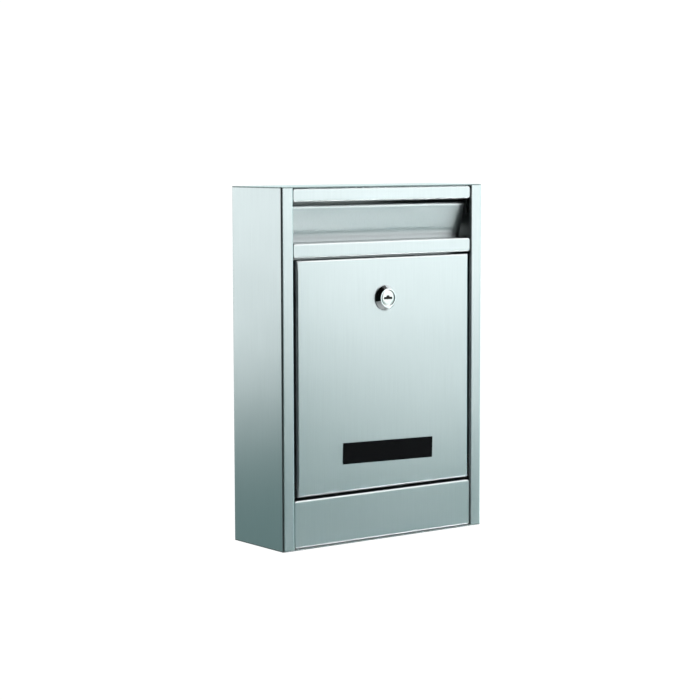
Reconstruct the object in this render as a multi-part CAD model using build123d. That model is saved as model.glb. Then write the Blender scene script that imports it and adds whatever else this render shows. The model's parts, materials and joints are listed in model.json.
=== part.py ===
from build123d import *
import os
from math import cos, hypot, radians, sin

# Slim wall mailbox in folded stainless sheet: a shell with a narrow strip down each front edge,
# three rails between the strips, a letter slot with a leaning flap that swings inwards, and a
# drop-down door on two hinge pins with a cam lock and a name plate.
#
# Frame: the origin is the centre of the four wall screws on the back face. +X is to the right
# for someone who faces the box, +Y runs into the wall and +Z is up. All sizes are millimetres.

# ---- Overall sizes ----
WIDTH = 220.0
HEIGHT = 310.0
DEPTH = 75.0  # from the wall to the front of the side strips
SHEET = 1.0  # stainless sheet of every casing piece
BEND = 1.8  # outside radius of a fold
NOTHING = 0.01  # how far a flush cut runs past its face, so that no skin is left
OVERRUN = 1.0  # how far a tool runs past the end of a hole or slot

# ---- Shell ----
STRIP_WIDTH = 12.5
STRIP_LIP = 2.0  # how far the inner edge of a strip is turned back
BACK_FLANGE = 9.0  # flanges of the back, welded to the top and the floor
SCREW_SPACING_X = 150.0
SCREW_SPACING_Z = 220.0
SCREW_HOLE_R = 3.25

# ---- Rails between the strips ----
RAIL_STEP = 1.0  # how far the rails stand behind the strips
RAIL_END_GAP = 0.4
RAIL_DEPTH = 9.0
RAIL_CORNER = 2.4
TOP_RAIL_HEIGHT = 12.0
SLOT_HEIGHT = 34.6
MID_RAIL_HEIGHT = 12.9
FASCIA_HEIGHT = 41.9

# ---- Keeper behind the middle rail ----
KEEPER_DROP = 10.0  # height of the lip that the cam stands behind
KEEPER_INSET = 1.0  # its ends stop this far inside the rail's ends
EAR_WIDTH = 9.0  # ears that reach the side walls
EAR_TAB = 10.0

# ---- Door ----
DOOR_SIDE_GAP = 2.9
DOOR_TOP_GAP = 1.6
DOOR_BOTTOM_GAP = 2.5
DOOR_FLANGE = 12.0
HINGE_SETBACK = 6.0  # pin axis behind the door's face
HINGE_RISE = 9.0  # pin axis above the door's lower edge

# ---- Door hinge ----
PIN_R = 2.0
PIN_HEAD_R = 3.6
PIN_HEAD = 1.2
PIN_PLAY = 0.06  # radial, between a pin and what turns on it
PIN_TAIL_R = 3.0
PIN_TAIL = 1.0
SPACER_R = 3.6
SIDE_PLAY = 0.1  # end play between faces that turn past each other
BRACKET_SHEET = 1.5
BRACKET_BEND = 2.4
BRACKET_HEIGHT = 16.0
BRACKET_REACH = 9.0  # pin axis to the back of the bracket
LUG_FRONT = 3.4  # pin axis to the front edge of the lug

# ---- Letter flap ----
FLAP_END_GAP = 1.0  # flap's end to the strip's inner edge
FLAP_TILT = 14.0  # degrees that the closed flap leans in at its foot
FLAP_LAP = 3.3  # how far the closed flap reaches down behind its stop
FLAP_AXIS_DEPTH = 11.2  # rod axis behind the front of the strips
FLAP_TOP_GAP = 2.7  # curl of the flap below the top rail
FLAP_STOP_GAP = 0.3
CURL_SLIT = 0.6
ROD_R = 1.5
ROD_PLAY = 0.08
ROD_END = 2.0  # rod past the bracket's lug
CLIP_R = 3.4
CLIP_THICK = 0.8
FLAP_LUG_GAP = 0.5  # lug outside the strip's inner edge
FLAP_LUG_FRONT = 3.6

# ---- Cam lock ----
LOCK_DROP = 35.5  # lock axis below the door's upper edge
LOCK_RIM_R = 11.2
LOCK_RIM_EDGE = 0.9
LOCK_RING_R = 8.3
LOCK_HEAD = 4.4  # how far the head stands out of the door
LOCK_CHAMFER = 0.4
BARREL_R = 9.0
BARREL_FLAT = 8.0  # axis to each of the barrel's two flats
BARREL_LENGTH = 18.0  # behind the door's face
BARREL_PLAY = 0.1
THREAD_DEPTH = 0.5
THREAD_PITCH = 1.5
PLUG_R = 7.0
PLUG_PLAY = 0.05
PLUG_RECESS = 0.3
KEYWAY_WIDTH = 8.8
KEYWAY_HEIGHT = 1.9
KEYWAY_DOME_R = 2.3
KEYWAY_DOME_RISE = 1.1  # centre of the dome above the slot's lower edge
KEYWAY_DEPTH = 15.0
WAFER_COUNT = 4
WAFER_PITCH = 3.0
WAFER_START = 4.0  # first wafer behind the plug's face
WAFER_THICK = 0.9
WAFER_WIDTH = 12.6
WAFER_HEIGHT = 5.0
WAFER_PLAY = 0.06
WAFER_WINDOW = 3.8  # height of the window for the key
NUT_FLATS = 24.0
NUT_THICK = 3.0
TANG_SIDE = 7.0
TANG_PLAY = 0.08
CAM_THICK = 2.0
CAM_WIDTH = 13.0
CAM_TIP_GAP = 2.1  # tip of the raised cam below the middle rail
CAM_GAP = 0.2  # barrel to cam, and cam to keeper
WASHER_R = 6.5
WASHER_THICK = 0.8
SCREW_R = 2.5
SCREW_HEAD_R = 4.3
SCREW_HEAD = 2.8
SCREW_LENGTH = 8.0
SCREW_CROSS = 1.0  # width of the cross recess

# ---- Name plate and bumpers ----
PLATE_WIDTH = 98.8
PLATE_HEIGHT = 18.5
PLATE_THICK = 0.8
PLATE_CORNER = 0.5
PLATE_OFFSET = 3.2  # its centre to the right of the door's
PLATE_ABOVE_DOOR_EDGE = 32.6
PLATE_TILT = -1.4  # degrees, right end low: it is stuck on by hand
BUMPER_R = 3.2
BUMPER_SPACING = 120.0
BUMPER_GAP = 0.2

# ---- Places worked out from the sizes ----
FRONT = -DEPTH
TOP = HEIGHT / 2
STRIP_IN = WIDTH / 2 - STRIP_WIDTH  # inner edge of a strip
WALL_IN = WIDTH / 2 - SHEET  # inner face of a side wall
CASE_TOP = TOP - SHEET  # under the top panel
CASE_FLOOR = -TOP + SHEET
RAIL_FACE = FRONT + RAIL_STEP
RAIL_END = STRIP_IN - RAIL_END_GAP
SLOT_TOP = CASE_TOP - TOP_RAIL_HEIGHT
MID_TOP = SLOT_TOP - SLOT_HEIGHT
MID_BOTTOM = MID_TOP - MID_RAIL_HEIGHT
FASCIA_TOP = CASE_FLOOR + FASCIA_HEIGHT
DOOR_HALF = STRIP_IN - DOOR_SIDE_GAP
DOOR_TOP = MID_BOTTOM - DOOR_TOP_GAP
DOOR_BOTTOM = FASCIA_TOP + DOOR_BOTTOM_GAP
DOOR_BACK = FRONT + SHEET  # back of the door's sheet
PIN_Y = FRONT + HINGE_SETBACK
PIN_Z = DOOR_BOTTOM + HINGE_RISE
LUG_X = STRIP_IN + SIDE_PLAY  # inner face of a door hinge's lug
CURL_R = ROD_R + ROD_PLAY + SHEET
FLAP_HALF = STRIP_IN - FLAP_END_GAP
ROD_Y = FRONT + FLAP_AXIS_DEPTH
ROD_Z = SLOT_TOP - FLAP_TOP_GAP - CURL_R
FLAP_FOOT = MID_TOP - FLAP_LAP
FLAP_LENGTH = (ROD_Z - CURL_R * sin(radians(FLAP_TILT)) - FLAP_FOOT) / cos(radians(FLAP_TILT))
FLAP_LUG_X = STRIP_IN + FLAP_LUG_GAP
LOCK_Z = DOOR_TOP - LOCK_DROP
CAM_REACH = MID_BOTTOM - LOCK_Z - CAM_TIP_GAP
HEAD_FACE = FRONT - LOCK_HEAD
BARREL_BACK = FRONT + BARREL_LENGTH
CAM_FRONT = BARREL_BACK + CAM_GAP
CAM_BACK = CAM_FRONT + CAM_THICK
PLUG_FACE = HEAD_FACE + PLUG_RECESS
KEEPER_BACK = CAM_FRONT - CAM_GAP
KEEPER_FRONT = KEEPER_BACK - SHEET


# ---- Shapes used more than once ----
def box(low, high):
    """Block between two opposite corners."""
    size = [high[i] - low[i] for i in range(3)]
    return Pos(*low) * Box(*size, align=Align.MIN)


def rod_along(axis, radius, start, length, at):
    """Cylinder along +X or +Y: start is its place on that axis, at the other two."""
    solid = Cylinder(radius, length, align=(Align.CENTER, Align.CENTER, Align.MIN))
    if axis == "X":
        return Pos(start, at[0], at[1]) * Rot(0, 90, 0) * solid
    return Pos(at[0], start, at[1]) * Rot(-90, 0, 0) * solid


def folded(path, thickness=SHEET, bend=BEND):
    """Section of a folded sheet: the metal lies to the left of the path, and each corner of the
    path is a fold, with bend as its outside radius."""
    steps = [(b[0] - a[0], b[1] - a[1]) for a, b in zip(path, path[1:])]
    normals = [(-v / hypot(u, v), u / hypot(u, v)) for u, v in steps]
    near, far = [0], [0]
    back = [(path[0][0] + thickness * normals[0][0], path[0][1] + thickness * normals[0][1])]
    for point, n, m in zip(path[1:], normals, normals[1:]):
        share = thickness / (1 + n[0] * m[0] + n[1] * m[1])
        back.append((point[0] + share * (n[0] + m[0]), point[1] + share * (n[1] + m[1])))
        turns_left = n[0] * m[1] - n[1] * m[0] > 0
        near.append(bend if turns_left else bend - thickness)
        far.append(bend - thickness if turns_left else bend)
    last = normals[-1]
    back.append((path[-1][0] + thickness * last[0], path[-1][1] + thickness * last[1]))
    near.append(0)
    far.append(0)
    outline = FilletPolyline(*path, *reversed(back), radius=near + far[::-1], close=True)
    return make_face(outline)


def along_x(section, low, high):
    """Section drawn in Y and Z, extruded from X = low to X = high."""
    return Pos(low, 0, 0) * extrude(Plane.YZ * section, high - low)


def along_y(section, low, high):
    """Section drawn in X and Z, extruded from Y = low to Y = high."""
    return Pos(0, high, 0) * extrude(Plane.XZ * section, high - low)


def along_z(section, low, high):
    """Section drawn in X and Y, extruded from Z = low to Z = high."""
    return Pos(0, 0, low) * extrude(section, high - low)


def both_sides(right):
    """The right-hand shape and its mirror image on the left."""
    return right + mirror(right, about=Plane.YZ)


def rounded_block(low, high, corner, bend):
    """Block with its front edges rounded, and its four front-to-back edges too where corner
    is more than nothing."""
    block = box(low, high)
    if corner > 0:
        block = fillet(block.edges().filter_by(Axis.Y), corner)
    return fillet(block.faces().sort_by(Axis.Y)[0].edges(), bend)


def pan(half, bottom, top, face, depth, corner=0.0):
    """Sheet tray, open at the back: a front face with a flange folded back on all four sides."""
    outer = rounded_block((-half, face, bottom), (half, face + depth, top), corner, BEND)
    low = (-half + SHEET, face + SHEET, bottom + SHEET)
    high = (half - SHEET, face + depth + NOTHING, top - SHEET)
    return outer - rounded_block(low, high, max(corner - SHEET, 0.0), BEND - SHEET)


# ---- Casing ----
def make_body_shell():
    """Back, side walls and front strips, folded from one sheet, with flanges on the back."""
    plan = folded([
        (STRIP_IN, FRONT + STRIP_LIP), (STRIP_IN, FRONT), (WIDTH / 2, FRONT), (WIDTH / 2, 0),
        (-WIDTH / 2, 0), (-WIDTH / 2, FRONT), (-STRIP_IN, FRONT), (-STRIP_IN, FRONT + STRIP_LIP),
    ])
    shell = along_z(plan, CASE_FLOOR, CASE_TOP)
    half = WALL_IN - 2 * BEND  # the flanges stop short of the corner folds
    notch = 2 * BEND
    for low in (CASE_FLOOR - NOTHING, CASE_TOP - notch):
        shell -= box((-half, -SHEET - NOTHING, low), (half, NOTHING, low + notch + NOTHING))
    back = folded([(-BACK_FLANGE, CASE_FLOOR), (0, CASE_FLOOR), (0, CASE_TOP), (-BACK_FLANGE, CASE_TOP)])
    shell += along_x(back, -half, half)
    for x in (-SCREW_SPACING_X / 2, SCREW_SPACING_X / 2):
        for z in (-SCREW_SPACING_Z / 2, SCREW_SPACING_Z / 2):
            shell -= rod_along("Y", SCREW_HOLE_R, -SHEET - NOTHING, SHEET + 2 * NOTHING, (x, z))
    return shell


def make_cover(low):
    """Flat sheet that closes the shell above or below, with its corners as round as the folds."""
    sheet = box((-WIDTH / 2, FRONT, low), (WIDTH / 2, 0, low + SHEET))
    return fillet(sheet.edges().filter_by(Axis.Z), BEND)


def make_rail(bottom, top):
    """Folded rail that closes the front between the strips, from one height to another."""
    return pan(RAIL_END, bottom, top, RAIL_FACE, RAIL_DEPTH, RAIL_CORNER)


def make_mid_rail():
    """Rail between the slot and the door. Its upper flange is the flap's stop, and its lower one
    carries the keeper lip and the ears that are welded to the side walls."""
    rail = make_rail(MID_BOTTOM, MID_TOP)
    half = RAIL_END - RAIL_CORNER - KEEPER_INSET
    joint = RAIL_FACE + RAIL_DEPTH - SHEET  # overlap where the long flanges leave the tray
    rail += box((-half, joint, MID_TOP - SHEET), (half, flap_stop_y(), MID_TOP))
    keeper = folded([
        (joint, MID_BOTTOM), (KEEPER_FRONT, MID_BOTTOM), (KEEPER_FRONT, MID_BOTTOM - KEEPER_DROP),
    ])
    rail += along_x(keeper, -half, half)
    ear = folded([(half - SHEET, MID_BOTTOM), (WALL_IN, MID_BOTTOM), (WALL_IN, MID_BOTTOM + EAR_TAB)])
    ear_back = KEEPER_FRONT - BEND
    return rail + both_sides(along_y(ear, ear_back - EAR_WIDTH, ear_back))


def flap_stop_y():
    """Back edge of the middle rail's upper flange: a small gap in front of the closed flap."""
    tilt = radians(FLAP_TILT)
    drop = (ROD_Z - MID_TOP - CURL_R * sin(tilt)) / cos(tilt)  # along the flap, to the flange
    return ROD_Y - CURL_R * cos(tilt) + drop * sin(tilt) - FLAP_STOP_GAP / cos(tilt)


# ---- Door ----
def make_door_panel():
    """Front of the door with flanges on all sides, the lock's hole and two pin holes."""
    door = pan(DOOR_HALF, DOOR_BOTTOM, DOOR_TOP, FRONT, DOOR_FLANGE)
    hole = BARREL_R + BARREL_PLAY, BARREL_FLAT + BARREL_PLAY
    door -= barrel_shape(*hole, FRONT - OVERRUN, DOOR_BACK + OVERRUN)
    span = 2 * DOOR_HALF + 2 * NOTHING
    return door - rod_along("X", PIN_R + PIN_PLAY, -span / 2, span, (PIN_Y, PIN_Z))


def make_hinge_pin():
    """Right-hand rivet: its head is inside the door's flange, its tail behind the bracket's lug."""
    head = DOOR_HALF - SHEET - SIDE_PLAY - PIN_HEAD
    tail = LUG_X + BRACKET_SHEET
    pin = rod_along("X", PIN_R, head, tail - head, (PIN_Y, PIN_Z))
    pin += rod_along("X", PIN_HEAD_R, head, PIN_HEAD, (PIN_Y, PIN_Z))
    pin += rod_along("X", PIN_TAIL_R, tail, PIN_TAIL, (PIN_Y, PIN_Z))
    rims = pin.faces().sort_by(Axis.X)
    return fillet([rims[0].edges()[0], rims[-1].edges()[0]], PIN_TAIL / 3)


def make_hinge_spacer():
    """Right-hand plastic bush that keeps the door's flange off the lug."""
    start = DOOR_HALF + SIDE_PLAY
    length = LUG_X - SIDE_PLAY - start
    bush = rod_along("X", SPACER_R, start, length, (PIN_Y, PIN_Z))
    return bush - rod_along("X", PIN_R + PIN_PLAY, start, length, (PIN_Y, PIN_Z))


def make_bracket(lug_x, hole_r, y, z, front):
    """Right-hand channel welded to the side wall: its lug carries a pin or the rod at (y, z)."""
    back = y + BRACKET_REACH
    path = [(WALL_IN, y - front), (WALL_IN, back), (lug_x, back), (lug_x, y - front)]
    channel = folded(path, BRACKET_SHEET, BRACKET_BEND)
    bracket = along_z(channel, z - BRACKET_HEIGHT / 2, z + BRACKET_HEIGHT / 2)
    return bracket - rod_along("X", hole_r, lug_x - NOTHING, BRACKET_SHEET + 2 * NOTHING, (y, z))


# ---- Letter flap ----
def make_letter_flap():
    """Flat flap with its upper edge curled round the rod, leaning in at the foot."""
    profile = Circle(CURL_R) - Circle(ROD_R + ROD_PLAY)
    profile -= Pos(CURL_R / 2, -CURL_SLIT) * Rectangle(CURL_R, CURL_SLIT)
    middle = -CURL_R + SHEET / 2
    profile += Pos(middle, -FLAP_LENGTH / 2) * Rectangle(SHEET, FLAP_LENGTH)
    flap = along_x(Rot(0, 0, FLAP_TILT) * profile, -FLAP_HALF, FLAP_HALF)
    return Pos(0, ROD_Y, ROD_Z) * flap


def make_flap_rod():
    """Rod that the flap turns on, held at both ends in the flap brackets."""
    end = FLAP_LUG_X + BRACKET_SHEET + ROD_END
    return rod_along("X", ROD_R, -end, 2 * end, (ROD_Y, ROD_Z))


def make_rod_clips():
    """Push-on clip on each end of the rod, outside the lugs."""
    place = FLAP_LUG_X + BRACKET_SHEET
    clip = rod_along("X", CLIP_R, place, CLIP_THICK, (ROD_Y, ROD_Z))
    return both_sides(clip - rod_along("X", ROD_R, place, CLIP_THICK, (ROD_Y, ROD_Z)))


# ---- Cam lock ----
def lock_bar(radius, start, end):
    """Round bar on the lock's axis, between two places along it."""
    return rod_along("Y", radius, start, end - start, (0, LOCK_Z))


def barrel_shape(radius, flat, start, end):
    """Round bar on the lock's axis with a flat on its left and right."""
    bar = lock_bar(radius, start, end)
    return bar & box((-flat, start, LOCK_Z - radius), (flat, end, LOCK_Z + radius))


def make_lock_housing():
    """Tapered head in front of the door and a threaded barrel with two flats behind it."""
    base = (Align.CENTER, Align.CENTER, Align.MIN)
    rim_front = FRONT - LOCK_RIM_EDGE
    head = Cone(LOCK_RIM_R, LOCK_RING_R, LOCK_HEAD - LOCK_RIM_EDGE, align=base)
    head = fillet(head.edges().sort_by(Axis.Z)[-1], LOCK_CHAMFER)
    housing = lock_bar(LOCK_RIM_R, rim_front, FRONT)
    housing += Pos(0, rim_front, LOCK_Z) * Rot(90, 0, 0) * head
    housing += barrel_shape(BARREL_R, BARREL_FLAT, FRONT - NOTHING, BARREL_BACK)
    groove = DOOR_BACK + NUT_THICK + THREAD_PITCH
    while groove < BARREL_BACK - THREAD_PITCH:
        end = groove + THREAD_PITCH / 2
        ring = lock_bar(BARREL_R + OVERRUN, groove, end)
        housing -= ring - lock_bar(BARREL_R - THREAD_DEPTH, groove, end)
        groove += THREAD_PITCH
    return housing - lock_bar(PLUG_R + PLUG_PLAY, HEAD_FACE - OVERRUN, BARREL_BACK + OVERRUN)


def make_lock_nut():
    """Hexagon nut that clamps the housing to the door."""
    hexagon = RegularPolygon(NUT_FLATS / 2, 6, major_radius=False)
    nut_back = DOOR_BACK + NUT_THICK
    nut = Pos(0, 0, LOCK_Z) * along_y(hexagon, DOOR_BACK, nut_back)
    return nut - lock_bar(BARREL_R + BARREL_PLAY / 2, DOOR_BACK, nut_back)


def wafer_centres():
    """Places of the wafers along the lock's axis."""
    return [PLUG_FACE + WAFER_START + i * WAFER_PITCH for i in range(WAFER_COUNT)]


def keyway(start, end):
    """Key slot with a dome on its upper side."""
    low = LOCK_Z - KEYWAY_HEIGHT / 2
    half = KEYWAY_WIDTH / 2
    slot = box((-half, start, low), (half, end, low + KEYWAY_HEIGHT))
    dome = rod_along("Y", KEYWAY_DOME_R, start, end - start, (0, low + KEYWAY_DOME_RISE))
    return slot + (dome & box((-half, start, low), (half, end, LOCK_Z + PLUG_R)))


def make_lock_plug():
    """Turning core with the keyway, the wafer slots, and a square tang behind for the cam."""
    plug = lock_bar(PLUG_R, PLUG_FACE, CAM_FRONT)
    plug = chamfer(plug.faces().sort_by(Axis.Y)[0].edges(), LOCK_CHAMFER)
    side = TANG_SIDE / 2
    low = (-side, CAM_FRONT - NOTHING, LOCK_Z - side)
    plug += box(low, (side, CAM_BACK - CAM_GAP, LOCK_Z + side))
    plug -= keyway(PLUG_FACE - OVERRUN, PLUG_FACE + KEYWAY_DEPTH)
    half = WAFER_HEIGHT / 2 + WAFER_PLAY
    depth = WAFER_THICK / 2 + WAFER_PLAY
    for y in wafer_centres():
        plug -= box((-PLUG_R, y - depth, LOCK_Z - half), (PLUG_R, y + depth, LOCK_Z + half))
    seat = CAM_BACK + WASHER_THICK
    return plug - lock_bar(SCREW_R, seat - SCREW_LENGTH, seat)


def make_lock_wafers():
    """Brass wafers in the plug's slots, each with a window for the key."""
    section = Rectangle(WAFER_WIDTH, WAFER_HEIGHT) - Rectangle(KEYWAY_WIDTH, WAFER_WINDOW)
    wafer = Pos(0, 0, LOCK_Z) * along_y(section, -WAFER_THICK / 2, WAFER_THICK / 2)
    return Compound(children=[Pos(0, y, 0) * wafer for y in wafer_centres()])


def make_lock_cam():
    """Flat arm on the tang. It points left while the box is unlocked."""
    arm = SlotOverall(CAM_REACH + CAM_WIDTH / 2, CAM_WIDTH)
    arm = Pos(-(CAM_REACH - CAM_WIDTH / 2) / 2, 0) * arm
    arm -= Rectangle(TANG_SIDE + 2 * TANG_PLAY, TANG_SIDE + 2 * TANG_PLAY)
    return Pos(0, 0, LOCK_Z) * along_y(arm, CAM_FRONT, CAM_BACK)


def make_cam_washer():
    """Plain washer under the cam screw's head."""
    end = CAM_BACK + WASHER_THICK
    return lock_bar(WASHER_R, CAM_BACK, end) - lock_bar(SCREW_R + TANG_PLAY, CAM_BACK, end)


def make_cam_screw():
    """Cross-head screw that holds the cam on the plug."""
    seat = CAM_BACK + WASHER_THICK
    end = seat + SCREW_HEAD
    head = lock_bar(SCREW_HEAD_R, seat, end)
    head = fillet(head.faces().sort_by(Axis.Y)[-1].edges(), SCREW_HEAD / 3)
    cross = Rectangle(2 * SCREW_R, SCREW_CROSS) + Rectangle(SCREW_CROSS, 2 * SCREW_R)
    head -= Pos(0, 0, LOCK_Z) * along_y(cross, seat + SCREW_HEAD / 2, end + OVERRUN)
    return head + lock_bar(SCREW_R, seat - SCREW_LENGTH, seat)


# ---- Name plate and bumpers ----
def make_name_plate():
    """Thin plate stuck to the door."""
    outline = RectangleRounded(PLATE_WIDTH, PLATE_HEIGHT, PLATE_CORNER)
    plate = along_y(outline, FRONT - PLATE_THICK, FRONT)
    place = Pos(PLATE_OFFSET, 0, DOOR_BOTTOM + PLATE_ABOVE_DOOR_EDGE)
    return place * Rot(0, -PLATE_TILT, 0) * plate


def make_door_bumpers():
    """Rubber buffers on the keeper lip, which the door's upper flange closes against."""
    start = FRONT + DOOR_FLANGE + BUMPER_GAP
    centre = MID_BOTTOM - KEEPER_DROP / 2
    buffer = rod_along("Y", BUMPER_R, start, KEEPER_FRONT - start, (BUMPER_SPACING / 2, centre))
    return both_sides(fillet(buffer.faces().sort_by(Axis.Y)[0].edges(), BUMPER_R / 6))


# ---- Build and export ----
def make_parts():
    """Every piece of the mailbox by name."""
    hinge_bracket = make_bracket(LUG_X, PIN_R, PIN_Y, PIN_Z, LUG_FRONT)
    flap_bracket = make_bracket(FLAP_LUG_X, ROD_R, ROD_Y, ROD_Z, FLAP_LUG_FRONT)
    parts = {
        "body_shell": make_body_shell(),
        "top_panel": make_cover(CASE_TOP),
        "floor_panel": make_cover(-TOP),
        "top_rail": make_rail(SLOT_TOP, CASE_TOP),
        "mid_rail": make_mid_rail(),
        "lower_fascia": make_rail(CASE_FLOOR, FASCIA_TOP),
        "door_panel": make_door_panel(),
        "letter_flap": make_letter_flap(),
        "flap_rod": make_flap_rod(),
        "flap_rod_clips": make_rod_clips(),
        "lock_housing": make_lock_housing(),
        "lock_nut": make_lock_nut(),
        "lock_plug": make_lock_plug(),
        "lock_wafers": make_lock_wafers(),
        "lock_cam": make_lock_cam(),
        "cam_washer": make_cam_washer(),
        "cam_screw": make_cam_screw(),
        "name_plate": make_name_plate(),
        "door_bumpers": make_door_bumpers(),
    }
    pairs = {
        "hinge_bracket": hinge_bracket,
        "hinge_pin": make_hinge_pin(),
        "hinge_spacer": make_hinge_spacer(),
        "flap_bracket": flap_bracket,
    }
    for name, right in pairs.items():
        parts[name + "_right"] = right
        parts[name + "_left"] = mirror(right, about=Plane.YZ)
    return parts


os.makedirs("parts", exist_ok=True)
for node, shape in make_parts().items():
    export_step(shape, f"parts/{node}.step")
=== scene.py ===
"""Slim wall mailbox in brushed stainless sheet: its surfaces, its finishes and a plain studio,
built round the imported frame. +X is to the right of someone who faces the box, +Y runs into the
wall."""
import json
import math

import bmesh
import bpy
import numpy as np
from bpy.props import FloatProperty, FloatVectorProperty, PointerProperty
from mathutils import Matrix, Vector


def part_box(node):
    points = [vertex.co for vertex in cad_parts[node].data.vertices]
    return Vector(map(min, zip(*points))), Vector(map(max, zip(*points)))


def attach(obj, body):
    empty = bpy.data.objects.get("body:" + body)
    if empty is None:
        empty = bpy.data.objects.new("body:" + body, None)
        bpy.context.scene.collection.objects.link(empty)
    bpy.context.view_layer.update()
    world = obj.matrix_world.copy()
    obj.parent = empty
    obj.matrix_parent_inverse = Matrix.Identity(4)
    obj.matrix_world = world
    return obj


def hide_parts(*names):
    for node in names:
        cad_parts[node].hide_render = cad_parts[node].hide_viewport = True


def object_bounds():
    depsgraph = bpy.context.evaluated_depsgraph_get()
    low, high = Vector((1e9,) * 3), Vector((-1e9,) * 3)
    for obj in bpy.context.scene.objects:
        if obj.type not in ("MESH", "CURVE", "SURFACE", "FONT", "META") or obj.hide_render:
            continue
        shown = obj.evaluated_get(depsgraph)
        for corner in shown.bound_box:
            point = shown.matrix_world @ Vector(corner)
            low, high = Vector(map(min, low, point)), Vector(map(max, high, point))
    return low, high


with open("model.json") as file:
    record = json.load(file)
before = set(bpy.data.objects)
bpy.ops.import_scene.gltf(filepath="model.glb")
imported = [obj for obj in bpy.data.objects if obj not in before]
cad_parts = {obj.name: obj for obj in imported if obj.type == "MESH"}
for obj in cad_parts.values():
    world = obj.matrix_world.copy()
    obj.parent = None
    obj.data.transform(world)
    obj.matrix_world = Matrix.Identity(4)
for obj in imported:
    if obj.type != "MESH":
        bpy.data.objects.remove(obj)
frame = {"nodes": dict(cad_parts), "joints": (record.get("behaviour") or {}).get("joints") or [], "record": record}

bl_info = {
    "name": "Wall Mailbox",
    "version": (1, 0, 0),
    "blender": (4, 5, 0),
    "location": "3D View > Sidebar > Mailbox",
    "description": "Builds the surfaces and finishes of a slim stainless wall mailbox",
    "category": "Add Mesh",
}

MM = 0.001
CAD_LOW, CAD_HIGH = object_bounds()

# ---- How finely shapes are divided ----
PATCH_STEPS = 8  # quads along each side of the square that a hole is cut in
CORNER_STEPS = 6
BEND_STEPS = 6
TURN_STEPS = 96  # steps round a turned part
GRID = 12.0  # millimetres between the points of a flat sheet
MERGE = 1e-6  # metres within which points are one
TINY = 1e-6  # keeps a division by a sine or cosine finite

# ---- Casing and door, in millimetres ----
SHARPEST = 0.05  # least inside radius of a fold
END_BEND = 0.35  # the rails' ends are pressed sharp, so they shut closely against the strips
WALL_HOLE_R = 3.25
WALL_XS, WALL_ZS = [
    (-frame["record"]["mounts"][0]["dims"][key] / 2, frame["record"]["mounts"][0]["dims"][key] / 2)
    for key in ("spacing_x_mm", "spacing_y_mm")]
WALL_PATCH = 6.0  # half the side of the square that a wall hole is cut in
BACK_FLANGE = 9.0
KEEPER_DROP = 10.0
KEEPER_INSET = 1.0
EAR_WIDTH = 9.0
EAR_TAB = 10.0
DOOR_HOLE_R = 9.1
DOOR_HOLE_FLAT = 8.1
DOOR_PATCH = 14.0
PLATE_CORNER = 0.5
FLAP_STOP_GAP = 0.3
CURL_END = math.radians(-150)  # where the flap's curl stops short of closing
CLIP_THICK = 0.8
ROD_CHAMFER = 0.3
BUFFER_DISH = 0.5  # depth of the hollow in a buffer's face
PIN_R = 2.0
PIN_HEAD_R = 3.6
PIN_HEAD = 1.2
PIN_TAIL_R = 3.0
PIN_TAIL = 1.0
PIN_PLAY = 0.06

# ---- Cam lock, in millimetres ----
BORE_R = 7.05
RING_R = 8.3
RIM_EDGE = 0.9
BARREL_R = 9.0
BARREL_FLAT = 8.0
THREAD_PITCH = 1.5
THREAD_DEPTH = 0.5
THREAD_END = 0.5  # plain end of the barrel
NUT_CORNER = 1.16  # reach of the nut's corners before they are cut, in halves of its width
NUT_CHAMFER = 0.9
PLUG_R = 7.0
PLUG_BEVEL = 0.8
PLUG_BEVEL_DEPTH = 0.5
TANG_HALF = 3.5
WASHER_HOLE_R = 2.58
KEYWAY_HALF = 4.4
KEYWAY_RISE = 0.95  # half the height of the key slot
KEYWAY_DOME_R = 1.9
KEYWAY_DOME_UP = 0.55
KEYWAY_DEPTH = 15.0
KEYWAY_LIP = 0.12

# ---- Brushed stainless ----
MARK_DEPTH = 0.0012
CLOUD_SIZE = (110.0, 110.0, 60.0)
CLOUD_DEPTH = 0.2
SATIN = 0.30  # lowest roughness, to which marks and clouds each add up to SATIN_SPREAD
SATIN_SPREAD = 0.03
SMEAR = 0.45  # anisotropy

# ---- View and studio: lengths in millimetres, places from the box's origin ----
VIEW_YAW = math.radians(36.95)  # turn of the view towards +X
VIEW_PITCH = math.radians(5.61)
VIEW_ROLL = math.radians(-0.15)
VIEW_AIM = (-6.1, -31.8, 8.7)
VIEW_DISTANCE = 1828.0
LENS = 105.7
FLOOR_DROP = 700.0  # floor below the box, which hangs on a wall
FLOOR_R = 1900.0
FLOOR_THICK = 10
SEEN_WHITE = 1.05
BRIGHT_SIDE = (0.94, 0.34, 0.0)  # towards the white sweep, behind the box and to its right
SWEEP_GLOW = 1.1
DARK_SIDE = (-0.75, -0.45, 0.48)  # towards the unlit room, up and to the left of the viewer
ROOM_GLOW = 0.015
HORIZON_GLOW, OVERHEAD_GLOW = 0.36, 0.15
LOW_TINT = (0.60, 1.0, 0.985)
# Name, centre, aim, width, height, radiance, and roll and spread in degrees.
SOFT_BOXES = (
    ("front_box", (530, -700, 400), (0, -75, 60), 1000, 1100, 1.39, -40, 180),
    ("upper_box", (560, -820, 1080), (0, -75, 120), 1000, 450, 1.6, 0, 180),
    ("side_box", (-530, 520, 352), (-110, -37, 60), 900, 900, 1.2, 32, 180),
    ("right_box", (1150, 150, 750), (0, -75, 0), 700, 700, 2.5, 0, 180),
    ("floor_box", (1250, -1050, -200), (1250, -1050, -855), 800, 700, 10.0, 0, 60),
)


# ---- Places read from the frame, in millimetres ----
def box_of(node):
    """Lowest and highest corner of a CAD node."""
    low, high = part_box(node)
    return np.array(low) / MM, np.array(high) / MM


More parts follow.
